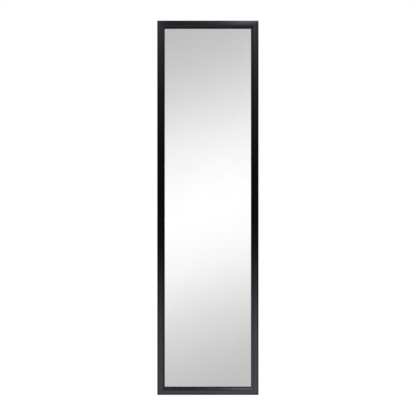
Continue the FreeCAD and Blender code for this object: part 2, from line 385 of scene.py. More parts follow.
@dataclass(frozen=True)
class FloatGlass(Finish):
    """Clear float glass, with a tint that drifts slightly over the sheet."""

    drift: Pattern = Pattern((300.0, 300.0, 300.0), fineness=2.0)
    ior: float = 1.52

    def detail(self, surface: Surface) -> None:
        """Makes it see-through and adds the drift.

        Args:
            surface: The material's nodes.
        """
        surface.shader["IOR"].default_value = self.ior
        surface.shader["Transmission Weight"].default_value = 1.0
        self.shade(surface, self.drift.draw(surface))


@dataclass(frozen=True)
class MirrorSilver(Finish):
    """Chemically deposited silver, a touch brighter where the coat is thick."""

    metallic: float = 1.0
    patches: Pattern = Pattern((180.0, 180.0, 180.0), fineness=3.0)

    def detail(self, surface: Surface) -> None:
        """Adds the coat's soft patches to a surface."""
        self.shade(surface, self.patches.draw(surface))


@dataclass(frozen=True)
class Hardboard(Finish):
    """Wet-process hardboard with its screen side out. Sizes in millimetres."""

    dark: str = "#573a25"
    # Fibres are really about 0.2 wide, drawn coarser so that they show
    felts: Sequence[Pattern] = tuple(
        Pattern((9.0, 0.9, 0.9), fineness=4.0, turn=turn, bend=0.4) for turn in (25.0, -50.0)
    )
    clouds: Pattern = Pattern((160.0, 160.0, 160.0), fineness=4.0, crispness=0.6)
    mesh_pitch: float = 2.4  # really about 1.6, drawn coarser so that it shows
    mesh_depth: float = 0.2
    mesh_shade: float = 0.35
    relief_share: float = 0.6
    brown_span: tuple[float, float] = (1.1, 2.1)  # sum of the patterns at the dark and pale shades

    def detail(self, surface: Surface) -> None:
        """Adds felted fibres, cloudy patches and the print of the wire screen.

        Args:
            surface: The material's nodes.
        """
        add, shader = surface.add, surface.shader
        fibres = [felt.draw(surface) for felt in self.felts]
        felt = add("ShaderNodeMath", fibres, operation="ADD")
        cloud = self.clouds.draw(surface)
        # At a scale of one, a wave texture repeats every tenth of pi
        wave = {"Vector": surface.place, "Scale": math.pi / 10 / (self.mesh_pitch * MM)}
        wires = [add("ShaderNodeTexWave", wave, bands_direction=axis).outputs["Fac"] for axis in "XZ"]
        screen = add("ShaderNodeMath", wires, operation="MULTIPLY")
        blend = add("ShaderNodeMath", [felt, cloud], operation="ADD")
        print_on = [screen, self.mesh_shade, blend]
        printed = add("ShaderNodeMath", print_on, operation="MULTIPLY_ADD")
        low, high = self.brown_span
        brown = add("ShaderNodeMapRange", {"Value": printed, "From Min": low, "From Max": high})
        ramp = add("ShaderNodeValToRGB", {"Fac": brown}, shader["Base Color"])
        set_stops(ramp, [(0.0, linear(self.dark)), (0.5, linear(self.base)), (1.0, linear(self.other))])
        height = add("ShaderNodeMath", [felt, screen], operation="ADD")
        relief = {"Height": height, "Strength": self.relief_share, "Distance": self.mesh_depth * MM}
        add("ShaderNodeBump", relief, shader["Normal"])


@dataclass(frozen=True)
class PlatedSteel(Finish):
    """Plated or blued steel, cloudy and finely scratched."""

    metallic: float = 1.0
    patch: float = 3.0  # millimetres
    patch_span: tuple[float, float] = (0.2, 0.8)
    scratches: Pattern = Pattern((0.25, 0.25, 9.0), fineness=2.0, turn=8.0)
    roughness_swing: float = 0.08

    def detail(self, surface: Surface) -> None:
        """Adds the plating's patches and the scratches of handling.

        Args:
            surface: The material's nodes.
        """
        size = {"Vector": surface.place, "Scale": 1 / (self.patch * MM)}
        cells = surface.add("ShaderNodeTexVoronoi", size).outputs["Color"]
        self.shade(surface, cells, self.patch_span)
        self.streak(surface, self.scratches, self.roughness_swing)


@dataclass(frozen=True)
class MouldedRubber(Finish):
    """Moulded rubber. Sizes in millimetres."""

    bloom: Pattern = Pattern((4.5, 4.5, 4.5), fineness=3.0)
    grit: Pattern = Pattern((0.6, 0.6, 0.6), fineness=2.0)
    grit_depth: float = 0.04
    grit_share: float = 0.5

    def detail(self, surface: Surface) -> None:
        """Adds bloom on the rubber and the mould's sand-blasted grain.

        Args:
            surface: The material's nodes.
        """
        self.shade(surface, self.bloom.draw(surface))
        grain = self.grit.draw(surface)
        relief = {"Height": grain, "Strength": self.grit_share, "Distance": self.grit_depth * MM}
        surface.add("ShaderNodeBump", relief, surface.shader["Normal"])


# Geometry trees


class GrowthTree(NodeGraph):
    """A geometry node tree with named inputs, which ends in real faces with their finish on."""

    def __init__(self, name: str, inputs: Mapping[str, Sequence[str]]) -> None:
        """Starts the tree.

        Args:
            name: Name of the tree.
            inputs: Type of socket to the names of its inputs.
        """
        super().__init__(bpy.data.node_groups.new(name, "GeometryNodeTree"))
        sockets = self.tree.interface
        for kind, labels in {"Geometry": ["Start"], **inputs, "Material": ["Finish"]}.items():
            for label in labels:
                sockets.new_socket(label, in_out="INPUT", socket_type=f"NodeSocket{kind}")
        sockets.new_socket("Piece", in_out="OUTPUT", socket_type="NodeSocketGeometry")
        self.given = self.add("NodeGroupInput").outputs

    def close(self, geometry: Feed) -> None:
        """Ends the tree: real faces, with sharp edges kept sharp and the finish set.

        Args:
            geometry: What gives the grown shape.
        """
        real = self.add("GeometryNodeRealizeInstances", {"Geometry": geometry})
        angle = self.add("GeometryNodeInputMeshEdgeAngle")
        sharp = self.add("FunctionNodeCompare", [angle, CREASE], operation="GREATER_THAN")
        edges = {"Geometry": real, "Selection": sharp, "Shade Smooth": False}
        creased = self.add("GeometryNodeSetShadeSmooth", edges, domain="EDGE")
        finish = {"Geometry": creased, "Material": self.given["Finish"]}
        self.add("NodeGroupOutput", {"Piece": self.add("GeometryNodeSetMaterial", finish)})

    def drive(self, piece: Feed) -> None:
        """Ends the tree with copies of a piece along a line, each with a turn of its own.

        Args:
            piece: What gives the piece.
        """
        given = self.given
        row = {"Count": given["Count"], "Start Location": given["First"], "Offset": given["Step"]}
        line = self.add("GeometryNodeMeshLine", row)
        span = {0: given["Least turn"], 1: given["Most turn"], "Seed": given["Seed"]}
        turn = self.add("FunctionNodeRandomValue", span, data_type="FLOAT_VECTOR")
        copies = {"Points": line, "Instance": piece, "Rotation": turn}
        self.close(self.add("GeometryNodeInstanceOnPoints", copies))

    def rounded_outline(self) -> Node:
        """Rounds the corners of the start outline by their own radii, in the input Arc steps.

        Returns:
            The node that gives the rounded outline.
        """
        outline = self.add("GeometryNodeMeshToCurve", {"Mesh": self.given["Start"]})
        radius = self.add("GeometryNodeInputNamedAttribute", {"Name": "round"}, data_type="FLOAT")
        arcs = {"Curve": outline, "Count": self.given["Arc steps"], "Radius": radius}
        return self.add("GeometryNodeFilletCurve", arcs, mode="POLY")

    def outline_sheet(self, columns: NodeSocket | int) -> list[Node]:
        """Lays copies of the rounded start outline side by side, with faces between them.

        Args:
            columns: Number of strips of faces, or the socket that gives it.

        Returns:
            Nodes that give the faces, each point's place on the outline and its column.
        """
        outline = self.rounded_outline()
        size = self.add("GeometryNodeAttributeDomainSize", {"Geometry": outline}, component="CURVE")
        count = size.outputs["Point Count"]
        lines = self.add("ShaderNodeMath", [columns, 1.0], operation="ADD")
        sheet = self.add("GeometryNodeMeshGrid", {"Vertices X": lines, "Vertices Y": count})
        index = self.add("GeometryNodeInputIndex")
        column = self.add("FunctionNodeIntegerMath", [index, count], operation="DIVIDE_FLOOR")
        row = self.add("FunctionNodeIntegerMath", [index, count], operation="MODULO")
        sample = {"Geometry": outline, "Value": self.add("GeometryNodeInputPosition"), "Index": row}
        point = self.add("GeometryNodeSampleIndex", sample, data_type="FLOAT_VECTOR")
        return [sheet, point, column]

    def wrap(self, sheet: Feed, place: Feed) -> Node:
        """Bends a sheet to its places in space and joins its edges.

        Args:
            sheet: What gives the faces.
            place: What gives the place of each point.

        Returns:
            The node that gives the closed surface.
        """
        shaped = self.add("GeometryNodeSetPosition", {"Geometry": sheet, "Position": place})
        return self.add("GeometryNodeMergeByDistance", {"Geometry": shaped, "Distance": WELD})

    def turned_outline(self) -> Node:
        """Turns the rounded start outline about Y, as on a lathe, in the input Segments.

        Returns:
            The node that gives the closed surface.
        """
        segments = self.given["Segments"]
        sheet, point, column = self.outline_sheet(segments)
        step = self.add("ShaderNodeMath", [math.tau, segments], operation="DIVIDE")
        angle = self.add("ShaderNodeMath", [column, step], operation="MULTIPLY")
        turn = {"Vector": point, "Angle": angle}
        return self.wrap(sheet, self.add("ShaderNodeVectorRotate", turn, rotation_type="Y_AXIS"))

    def grow(self, name: str, start: Mesh, values: Mapping[str, Any]) -> Object:
        """Runs the tree once and keeps its result as a plain mesh.

        Args:
            name: Name of the piece.
            start: Mesh that the tree starts from.
            values: Value of each named input.

        Returns:
            The piece, at the origin, with its place in its mesh.
        """
        piece = bpy.data.objects.new(name, start)
        bpy.context.scene.collection.objects.link(piece)
        modifier = piece.modifiers.new("growth", "NODES")
        modifier.node_group = self.tree
        keys = {item.name: item.identifier for item in self.tree.interface.items_tree}
        for label, value in values.items():
            modifier[keys[label]] = value
        graph = bpy.context.evaluated_depsgraph_get()
        mesh = bpy.data.meshes.new_from_object(piece.evaluated_get(graph), depsgraph=graph)
        piece.modifiers.remove(modifier)
        piece.data = mesh
        mesh.name = name
        return piece


def outline_mesh(name: str, corners: Sequence[Spot], closed: bool = False) -> Mesh:
    """Makes the line of edges that a growth tree starts from.

    Args:
        name: Name of the mesh.
        corners: Two places and a corner radius each, in millimetres.
        closed: Whether the last corner joins the first.

    Returns:
        The mesh, with the radii as its attribute round.
    """
    count = len(corners)
    edges = [(i, (i + 1) % count) for i in range(count if closed else count - 1)]
    mesh = bpy.data.meshes.new(name)
    mesh.from_pydata([(a * MM, b * MM, 0.0) for a, b, _ in corners], edges, [])
    radii = mesh.attributes.new("round", "FLOAT", "POINT")
    for place, (_, _, radius) in zip(radii.data, corners):
        place.value = radius * MM
    return mesh


def keep(piece: Object, slot: str, *nodes: str) -> Object:
    """Hands a grown piece to the frame.

    Args:
        piece: The finished piece.
        slot: Not used.
        nodes: Nodes that it stands for.

    Returns:
        The same piece.
    """
    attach(piece, BODY)
    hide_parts(*nodes)
    return piece


def dress(node: Object, material: Material) -> Object:
    """Gives one of the model's own nodes its finish.

    Args:
        node: The node's object.
        material: Its finish.

    Returns:
        The same object.
    """
    for place in node.material_slots:
        place.material = material
    return node


# Sub-assemblies


@dataclass
class MouldingFrame:
    """Four lengths of black moulding, mitred at the corners. Sizes in millimetres."""

    nodes: Mapping[str, Object]
    width: float = 25.0
    rabbet: float = 8.5
    lip: float = 2.5
    bevel_width: float = 7.5
    bevel_drop: float = 4.0
    outer_radius: float = 6.0
    arris_radius: float = 4.0
    sight_radius: float = 0.8
    back_radius: float = 0.8
    arc_steps: int = 14
    joint_gap: float = 0.04  # what each end stops short of the mitre
    glass_gap: float = 0.05  # keeps the lip's underside just off the glass
    slot_lift: float = 0.5  # brings the nails' slots out through the back

    def section(self) -> Mesh:
        """Makes the section's outline: distance from the outer wall, and depth.

        Returns:
            The outline, with the radius of each corner.
        """
        low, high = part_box(Member.BOTTOM.node)
        face, back = low.y / MM, high.y / MM
        glass = face + self.bevel_drop + self.lip - self.glass_gap
        land = self.width - self.rabbet
        corners = [
            (0.0, face, self.outer_radius),
            (self.width - self.bevel_width, face, self.arris_radius),
            (self.width, face + self.bevel_drop, self.sight_radius),
            (self.width, glass, 0.0),
            (land, glass, 0.0),
            (land, back, 0.0),
            (0.0, back, self.back_radius),
        ]
        return outline_mesh("moulding_section", corners, closed=True)

    def mitred(self, growth: GrowthTree) -> Node:
        """Sweeps the section along X and brings each of its points to the mitres.

        Args:
            growth: The moulding's tree.

        Returns:
            The node that gives the length, with its own coordinates as the attribute lay.
        """
        add, given = growth.add, growth.given
        vector = {"data_type": "FLOAT_VECTOR"}
        here = add("GeometryNodeInputPosition")
        outline = {"Geometry": growth.rounded_outline(), "Name": "section", "Value": here}
        section = add("GeometryNodeStoreNamedAttribute", outline, **vector)
        line = add("GeometryNodeCurvePrimitiveLine", {"Start": (-1.0, 0.0, 0.0), "End": (1.0, 0.0, 0.0)})
        ends = {"Geometry": line, "Name": "end", "Value": here}
        axis = add("GeometryNodeStoreNamedAttribute", ends, **vector)
        sweep = {"Curve": axis, "Profile Curve": section, "Fill Caps": True}
        swept = add("GeometryNodeCurveToMesh", sweep)
        at = add("GeometryNodeInputNamedAttribute", {"Name": "section"}, **vector)
        end = add("GeometryNodeInputNamedAttribute", {"Name": "end"}, **vector)
        across = add("ShaderNodeSeparateXYZ", [at]).outputs
        sign = add("ShaderNodeSeparateXYZ", [end]).outputs["X"]
        whole = add("ShaderNodeMath", [given["Length"], 0.5], operation="MULTIPLY")
        half = add("ShaderNodeMath", [whole, given["Joint gap"]], operation="SUBTRACT")
        reach = add("ShaderNodeMath", [half, across["X"]], operation="SUBTRACT")
        along = add("ShaderNodeMath", [sign, reach], operation="MULTIPLY")
        mitre = add("ShaderNodeCombineXYZ", {"X": along, "Y": across["Y"], "Z": across["X"]})
        shaped = add("GeometryNodeSetPosition", {"Geometry": swept, "Position": mitre})
        lay = {"Geometry": shaped, "Name": "lay", "Value": here}
        return add("GeometryNodeStoreNamedAttribute", lay, **vector)

    def nail_slots(self, growth: GrowthTree) -> Node:
        """Takes the nails at both ends as the shape of their slots.

        Args:
            growth: The moulding's tree.

        Returns:
            The node that gives the slots.
        """
        nails = [
            growth.add("GeometryNodeObjectInfo", {"Object": growth.given[label]}).outputs["Geometry"]
            for label in ("First nails", "Second nails")
        ]
        both = growth.add("GeometryNodeJoinGeometry", {"Geometry": nails})
        whole = growth.add("GeometryNodeMergeByDistance", {"Geometry": both, "Distance": WELD})
        lift = {"Geometry": whole, "Translation": growth.given["Slot lift"]}
        return growth.add("GeometryNodeTransform", lift)

    def tree(self) -> GrowthTree:
        """Builds the tree that makes a length, puts it up and cuts its nails' slots.

        Returns:
            The tree.
        """
        inputs = {
            "Int": ["Arc steps"],
            "Float": ["Length", "Joint gap"],
            "Vector": ["Turn", "Place", "Slot lift"],
            "Object": ["First nails", "Second nails"],
        }
        growth = GrowthTree("mitred_moulding", inputs)
        place, turn = growth.given["Place"], growth.given["Turn"]
        put = {"Geometry": self.mitred(growth), "Translation": place, "Rotation": turn}
        placed = growth.add("GeometryNodeTransform", put)
        cut = {"Mesh 1": placed, "Mesh 2": self.nail_slots(growth)}
        growth.close(growth.add("GeometryNodeMeshBoolean", cut, operation="DIFFERENCE", solver="EXACT"))
        return growth

    def build(self, material: Material) -> list[Object]:
        """Grows the four lengths in place of the plain ones.

        Args:
            material: Finish of the moulding.

        Returns:
            The four pieces.
        """
        growth = self.tree()
        low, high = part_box(Member.LEFT.node)
        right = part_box(Member.RIGHT.node)[1].x
        width, height, middle = right - low.x, high.z - low.z, high.z / 2
        layout = {
            Member.BOTTOM: ((0.0, 0.0, low.z), width, Corner.LOWER_LEFT, Corner.LOWER_RIGHT),
            Member.TOP: ((0.0, 0.0, high.z), width, Corner.UPPER_LEFT, Corner.UPPER_RIGHT),
            Member.LEFT: ((low.x, 0.0, middle), height, Corner.LOWER_LEFT, Corner.UPPER_LEFT),
            Member.RIGHT: ((right, 0.0, middle), height, Corner.LOWER_RIGHT, Corner.UPPER_RIGHT),
        }
        pieces = []
        for member, (place, length, first, second) in layout.items():
            values = {
                "Arc steps": self.arc_steps,
                "Length": length,
                "Joint gap": self.joint_gap * MM,
                "Turn": member.turn(),
                "Place": place,
                "Slot lift": (0.0, self.slot_lift * MM, 0.0),
                "First nails": self.nodes[first.nails],
                "Second nails": self.nodes[second.nails],
                "Finish": material,
            }
            piece = growth.grow(f"{member.node}_moulding", self.section(), values)
            pieces.append(keep(piece, "black_moulding", member.node))
        return pieces


@dataclass
class Glazing:
    """Mirror glass with ground edges, its silver and the board behind it. Sizes in millimetres."""

    nodes: Mapping[str, Object]
    sides: int = 4
    arris: float = 0.5
    arc_steps: int = 4
    contact: float = 0.05  # how far the glass reaches into its silver, so that no gap is left

    def tree(self) -> GrowthTree:
        """Builds the tree that runs the rounded edge round the four sides of the sheet.

        Returns:
            The tree.
        """
        inputs = {"Int": ["Arc steps"], "Float": ["Half width", "Half height"], "Vector": ["Place"]}
        growth = GrowthTree("ground_sheet", inputs)
        add, given = growth.add, growth.given
        sheet, point, column = growth.outline_sheet(self.sides)
        edge = add("ShaderNodeSeparateXYZ", [point]).outputs
        corner = add("ShaderNodeMath", [column, QUARTER, QUARTER / 2], operation="MULTIPLY_ADD")
        reached = []
        for label, part in (("Half width", "COSINE"), ("Half height", "SINE")):
            swing = add("ShaderNodeMath", [corner], operation=part)
            sign = add("ShaderNodeMath", [swing], operation="SIGN")
            reach = add("ShaderNodeMath", [given[label], edge["X"]], operation="SUBTRACT")
            reached.append(add("ShaderNodeMath", [sign, reach], operation="MULTIPLY"))
        place = add("ShaderNodeCombineXYZ", {"X": reached[0], "Y": edge["Y"], "Z": reached[1]})
        put = {"Geometry": growth.wrap(sheet, place), "Translation": given["Place"]}
        growth.close(add("GeometryNodeTransform", put))
        return growth

    def build(self, finishes: Mapping[str, Material]) -> list[Object]:
        """Grows the glass, and dresses silver and board.

        Args:
            finishes: Materials by the names glass, silver and board.

        Returns:
            The three pieces.
        """
        low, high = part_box("mirror_glass")
        half = (high - low) / 2
        middle = (low + high) / 2
        inner, thickness = half.x / MM, (high.y - low.y) / MM + self.contact
        edge = [
            (inner, thickness, 0.0),
            (0.0, thickness, self.arris),
            (0.0, 0.0, self.arris),
            (inner, 0.0, 0.0),
        ]
        values = {
            "Arc steps": self.arc_steps,
            "Half width": half.x,
            "Half height": half.z,
            "Place": (middle.x, low.y, middle.z),
            "Finish": finishes["glass"],
        }
        glass = self.tree().grow("mirror_glass_sheet", outline_mesh("glass_edge", edge), values)
        return [
            keep(glass, "mirror_glass", "mirror_glass"),
            dress(self.nodes["silver_layer"], finishes["silver"]),
            dress(self.nodes["backing_board"], finishes["board"]),
        ]


@dataclass
class BoardPoints:
    """Flat steel points that hold the board, driven by hand. Sizes in millimetres."""

    rail_count: int = 2
    stile_count: int = 6
    width: float = 8.0
    thickness: float = 0.6
    reach: float = 10.0
    bite: float = 6.0
    tip: float = 4.0
    corner: float = 2.0
    rib_place: float = -4.0
    rib_width: float = 1.4
    rib_height: float = 0.35
    rib_rows: Sequence[float] = (-1.0, -0.5, 0.0, 0.5, 1.0)
    skew: float = 2.5  # degrees either way
    seed: int = 7

    def blank(self) -> Mesh:
        """Makes one point's underside: rows from its free end to its tip, with a pressed rib.

        Returns:
            The sheet, along X, its tip down -Z.
        """
        half = self.width / 2
        rib = [
            (self.rib_place + share * self.rib_width, half, (1 - share**2) * self.rib_height)
            for share in self.rib_rows
        ]
        rows = [
            (-self.reach, half - self.corner, 0.0),
            (self.corner - self.reach, half, 0.0),
            *rib,
            (self.bite - self.tip, half, 0.0),
        ]
        places = [(side * w * MM, lift * MM, -out * MM) for out, w, lift in rows for side in (-1, 1)]
        places.append((0.0, 0.0, -self.bite * MM))
        last = len(places) - 1
        faces = [(2 * i, 2 * i + 1, 2 * i + 3, 2 * i + 2) for i in range(len(rows) - 1)]
        faces.append((last - 2, last - 1, last))
        mesh = bpy.data.meshes.new("point_blank")
        mesh.from_pydata(places, [], faces)
        return mesh

    def tree(self) -> GrowthTree:
        """Builds the tree that thickens a point and drives copies of it along a member.

        Returns:
            The tree.
        """
        vectors = ["Thickness", "First", "Step", "Least turn", "Most turn"]
        growth = GrowthTree("driven_points", {"Int": ["Count", "Seed"], "Vector": vectors})
        add, blank = growth.add, growth.given["Start"]
        thicken = {"Mesh": blank, "Offset": growth.given["Thickness"], "Individual": False}
        raised = add("GeometryNodeExtrudeMesh", thicken)
        under = add("GeometryNodeFlipFaces", {"Mesh": blank})
        both = add("GeometryNodeJoinGeometry", {"Geometry": [raised, under]})
        growth.drive(add("GeometryNodeMergeByDistance", {"Geometry": both, "Distance": WELD}))
        return growth

    def places(self, member: Member) -> tuple[Vector, Vector]:
        """Finds where a member's points enter its wall.

        Args:
            member: The length of moulding.

        Returns:
            The first and the last place.
        """
        low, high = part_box(f"{member.node}_points")
        half, bite = self.width / 2 * MM, self.bite * MM
        if member.is_rail:
            wall = low.z + bite if member is Member.BOTTOM else high.z - bite
            return Vector((low.x + half, low.y, wall)), Vector((high.x - half, low.y, wall))
        wall = low.x + bite if member is Member.LEFT else high.x - bite
        return Vector((wall, low.y, low.z + half)), Vector((wall, low.y, high.z - half))

    def build(self, material: Material) -> list[Object]:
        """Drives the points of all four members.

        Args:
            material: Finish of the points.

        Returns:
            One piece for each member.
        """
        growth = self.tree()
        pieces = []
        for number, member in enumerate(Member):
            first, last = self.places(member)
            count = self.rail_count if member.is_rail else self.stile_count
            values = {
                "Thickness": (0.0, self.thickness * MM, 0.0),
                "Count": count,
                "First": first,
                "Step": (last - first) / (count - 1),
                "Least turn": member.turn(-self.skew),
                "Most turn": member.turn(self.skew),
                "Seed": self.seed + number,
                "Finish": material,
            }
            piece = growth.grow(f"{member.node}_driven_points", self.blank(), values)
            pieces.append(keep(piece, "blued_steel", f"{member.node}_points"))
        return pieces


@dataclass
class Hangers:
    """Two strap hangers with their wire rings and screws. Sizes in millimetres."""

    nodes: Mapping[str, Object]
    core: float = 2.6
    length: float = 12.0
    tip: float = 2.5
    neck_radius: float = 0.2
    head: float = 6.4
    head_height: float = 1.9
    under_radius: float = 0.1
    rim_height: float = 0.9
    rim_radius: float = 0.5
    crown_share: float = 0.8  # of the head, where its top bends down
    crown_radius: float = 1.0
    thread: float = 0.28
    thread_sides: int = 3
    pitch: float = 1.4
    recess_arm: float = 1.7
    recess_slot: float = 0.8
    recess_depth: float = 1.2
    arc_steps: int = 5
    segments: int = 40
    seed: int = 3

    def screw_outline(self) -> Mesh:
        """Makes half the outline of a pan-head screw: distance from its axis, and height.

        Returns:
            The outline, with the radius of each corner.
        """
        core, head = self.core / 2, self.head / 2
        corners = [
            (0.0, -self.length, 0.0),
            (core, self.tip - self.length, 0.0),
            (core, 0.0, self.neck_radius),
            (head, 0.0, self.under_radius),
            (head, self.rim_height, self.rim_radius),
            (self.crown_share * head, self.head_height, self.crown_radius),
            (0.0, self.head_height, 0.0),
        ]
        return outline_mesh("screw_outline", corners)

    def recessed(self, growth: GrowthTree) -> Node:
        """Turns the screw's body and cuts the cross recess in its head.

        Args:
            growth: The screws' tree.

        Returns:
            The node that gives the body.
        """
        bar = growth.add("GeometryNodeMeshCube", {"Size": growth.given["Recess"]})
        put = {"Geometry": bar, "Translation": growth.given["Recess place"]}
        turns = [(0.0, turn, 0.0) for turn in (0.0, QUARTER)]
        cross = [growth.add("GeometryNodeTransform", {**put, "Rotation": turn}) for turn in turns]
        cut = {"Mesh 1": growth.turned_outline(), "Mesh 2": cross}
        return growth.add("GeometryNodeMeshBoolean", cut, operation="DIFFERENCE", solver="EXACT")

    def threaded(self, growth: GrowthTree) -> Node:
        """Winds the thread's ridge round the core.

        Args:
            growth: The screws' tree.

        Returns:
            The node that gives the ridge.
        """
        add, given = growth.add, growth.given
        winding = {
            "Resolution": given["Segments"],
            "Rotations": given["Turns"],
            "Start Radius": given["Core radius"],
            "End Radius": given["Core radius"],
            "Height": given["Thread length"],
        }
        helix = add("GeometryNodeCurveSpiral", winding)
        section = {"Resolution": self.thread_sides, "Radius": given["Thread"]}
        ridge = add("GeometryNodeCurvePrimitiveCircle", section)
        sweep = {"Curve": helix, "Profile Curve": ridge, "Fill Caps": True}
        thread = add("GeometryNodeCurveToMesh", sweep)
        return add("GeometryNodeTransform", {"Geometry": thread, "Rotation": (QUARTER, 0.0, 0.0)})

    def screw_tree(self) -> GrowthTree:
        """Builds the tree that makes a screw and drives one for each hanger.

        Returns:
            The tree.
        """
        inputs = {
            "Int": ["Arc steps", "Segments", "Count", "Seed"],
            "Float": ["Core radius", "Thread", "Thread length", "Turns"],
            "Vector": ["Recess", "Recess place", "First", "Step", "Least turn", "Most turn"],
        }
        growth = GrowthTree("pan_head_screws", inputs)
        parts = [self.recessed(growth), self.threaded(growth)]
        growth.drive(growth.add("GeometryNodeJoinGeometry", {"Geometry": parts}))
        return growth

    def build(self, finishes: Mapping[str, Material]) -> list[Object]:
        """Dresses straps and rings, and drives the screws.

        Args:
            finishes: Materials by the names zinc and nickel.

        Returns:
            Straps, rings and the pair of screws.
        """
        pieces = []
        for side in Side:
            pieces.append(dress(self.nodes[f"{side.value}_hanger_strap"], finishes["zinc"]))
            pieces.append(dress(self.nodes[f"{side.value}_hanger_ring"], finishes["nickel"]))
        low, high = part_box("hanger_screws")
        head, top = self.head / 2 * MM, self.head_height * MM
        thread_length = self.length - self.tip
        values = {
            "Arc steps": self.arc_steps,
            "Segments": self.segments,
            "Core radius": self.core / 2 * MM,
            "Thread": self.thread * MM,
            "Thread length": thread_length * MM,
            "Turns": thread_length / self.pitch,
            "Recess": (2 * self.recess_arm * MM, 2 * self.recess_depth * MM, self.recess_slot * MM),
            "Recess place": (0.0, top, 0.0),
            "Count": len(Side),
            "First": (low.x + head, high.y - top, (low.z + high.z) / 2),
            "Step": (high.x - low.x - 2 * head, 0.0, 0.0),
            "Least turn": (0.0, 0.0, 0.0),
            "Most turn": (0.0, QUARTER, 0.0),
            "Seed": self.seed,
            "Finish": finishes["zinc"],
        }
        screws = self.screw_tree().grow("pan_head_screws", self.screw_outline(), values)
        pieces.append(keep(screws, "zinc_steel", "hanger_screws"))
        return pieces


@dataclass
class FootBumpers:
    """Two rubber bumpers that keep the foot off the wall. Sizes in millimetres."""

    radius: float = 6.0
    height: float = 4.5
    foot_radius: float = 0.3
    shoulder: float = 3.3
    shoulder_radius: float = 0.9
    bevel: float = 1.2
    dish: float = 2.4
    dish_depth: float = 0.5
    dish_slope: float = 0.4
    dish_edge_radius: float = 0.5
    dish_floor_radius: float = 0.3
    arc_steps: int = 5
    segments: int = 64

    def outline(self) -> Mesh:
        """Makes half the outline of a bumper: distance from its axis, and height.

        Returns:
            The outline, with the radius of each corner.
        """
        hollow = self.height - self.dish_depth
        corners = [
            (0.0, 0.0, 0.0),
            (self.radius, 0.0, self.foot_radius),
            (self.radius, self.shoulder, self.shoulder_radius),
            (self.radius - self.bevel, self.height, self.shoulder_radius),
            (self.dish, self.height, self.dish_edge_radius),
            (self.dish - self.dish_slope, hollow, self.dish_floor_radius),
            (0.0, hollow, 0.0),
        ]
        return outline_mesh("bumper_outline", corners)

    def tree(self) -> GrowthTree:
        """Builds the tree that turns a bumper and puts it in place.

        Returns:
            The tree.
        """
        growth = GrowthTree("foot_bumper", {"Int": ["Arc steps", "Segments"], "Vector": ["Place"]})
        put = {"Geometry": growth.turned_outline(), "Translation": growth.given["Place"]}
        growth.close(growth.add("GeometryNodeTransform", put))
        return growth

    def build(self, material: Material) -> list[Object]:
        """Grows both bumpers in place of the plain ones.

        Args:
            material: Finish of the bumpers.

        Returns:
            The two pieces.
        """
        growth = self.tree()
        pieces = []
        for side in Side:
            low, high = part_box(f"{side.value}_bumper")
            values = {
                "Arc steps": self.arc_steps,
                "Segments": self.segments,
                "Place": ((low.x + high.x) / 2, low.y, (low.z + high.z) / 2),
                "Finish": material,
            }
            piece = growth.grow(f"{side.value}_rubber_bumper", self.outline(), values)
            pieces.append(keep(piece, "bumper_rubber", f"{side.value}_bumper"))
        return pieces


# Studio


@dataclass
class Viewpoint:
    """Camera straight in front of the mirror, as high as its middle. Sizes in metres."""

    distance: float = 1.5
    picture_width: float = 1.395  # what the picture spans at the frame's widest outline
    outline_depth: float = -0.0028  # along Y, where that outline lies
    across: float = 0.0004
    height: float = 0.6264
    sensor: float = 36.0  # millimetres, as Blender has it

    def build(self) -> None:
        """Sets up the camera and gives it to the scene."""
        data = bpy.data.cameras.new("viewpoint")
        data.sensor_width = self.sensor
        data.lens = self.sensor * self.distance / self.picture_width
        camera = bpy.data.objects.new("viewpoint", data)
        camera.location = (self.across, self.outline_depth - self.distance, self.height)
        camera.rotation_euler = (QUARTER, 0.0, 0.0)
        bpy.context.scene.collection.objects.link(camera)
        bpy.context.scene.camera = camera


class Sky(NodeGraph):
    """The world's nodes, with the parts along X, Y and Z of the direction that they light."""

    def __init__(self) -> None:
        """Starts the scene's world."""
        world = bpy.data.worlds.new("studio")
        bpy.context.scene.world = world
        world.use_nodes = True
        world.cycles.sampling_method = "NONE"  # its light differs by the kind of ray
        super().__init__(world.node_tree)
        towards = self.add("ShaderNodeTexCoord").outputs["Generated"]
        self.part = self.add("ShaderNodeSeparateXYZ", [towards]).outputs

    def along(self, axis: str, stops: Stops) -> Node:
        """Gives light that changes along one axis.

        Args:
            axis: X, Y or Z.
            stops: The direction's part along it, from -1 to 1, and the light from there.

        Returns:
            The node that gives the light.
        """
        place = self.add("ShaderNodeMapRange", {"Value": self.part[axis], "From Min": -1.0})
        ramp = self.add("ShaderNodeValToRGB", {"Fac": place})
        set_stops(ramp, [((at + 1) / 2, (level, level, level, 1.0)) for at, level in stops])
        return ramp


